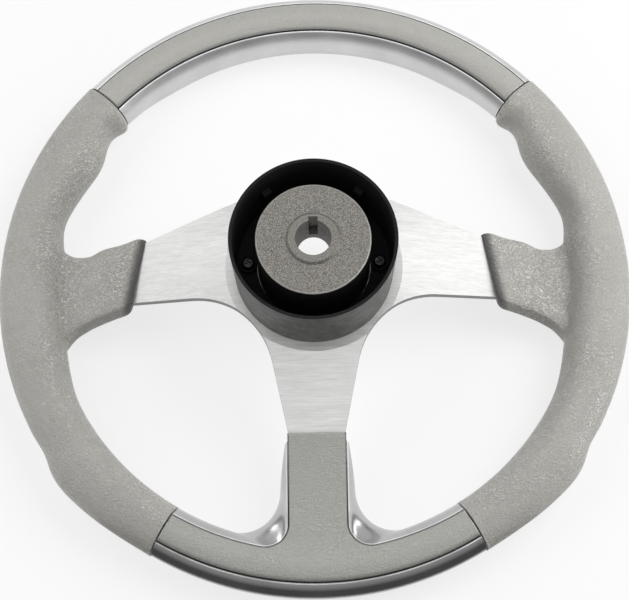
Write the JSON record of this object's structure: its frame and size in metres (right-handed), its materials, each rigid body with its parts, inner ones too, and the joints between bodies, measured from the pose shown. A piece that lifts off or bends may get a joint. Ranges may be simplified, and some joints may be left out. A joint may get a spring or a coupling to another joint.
{
  "type": "boat steering wheel",
  "caption": "Dished boat steering wheel with brushed spokes, grained grips, satin rim shells, and a cast hub with a keyed tapered bore inside a black collar.",
  "frame": {"origin": "on the steering axis, in the plane that the front of the rim lies on", "axes": "+Z along the steering axis towards the dash, -Y along the lower spoke, +X completes a right-handed frame"},
  "size_m": [0.3508, 0.35, 0.092],
  "materials": {
    "rod_steel": "plain, hidden",
    "spoke_aluminium": "brushed",
    "grip_skin": "leather-grained soft moulding",
    "cover_skin": "leather-grained soft moulding",
    "satin_shell": "satin silver plating",
    "polished_shell": "polished silver plating",
    "hub_casting": "as cast, fine sandy face",
    "collar_black": "black, finely textured",
    "black_screws": "blackened steel",
    "hub_fasteners": "zinc-plated steel"
  },
  "bodies": {
    "root": {"rim_rod": "rod_steel", "spoke_plate": "spoke_aluminium", "grip_left": "grip_skin", "grip_right": "grip_skin", "upper_front_shell": "satin_shell", "upper_rear_cover": "cover_skin", "lower_front_shell": "polished_shell", "lower_rear_cover": "cover_skin", "hub_body": "hub_casting", "hub_screws": "hub_fasteners", "collar": "collar_black", "collar_screws": "black_screws"}
  },
  "joints": []
}
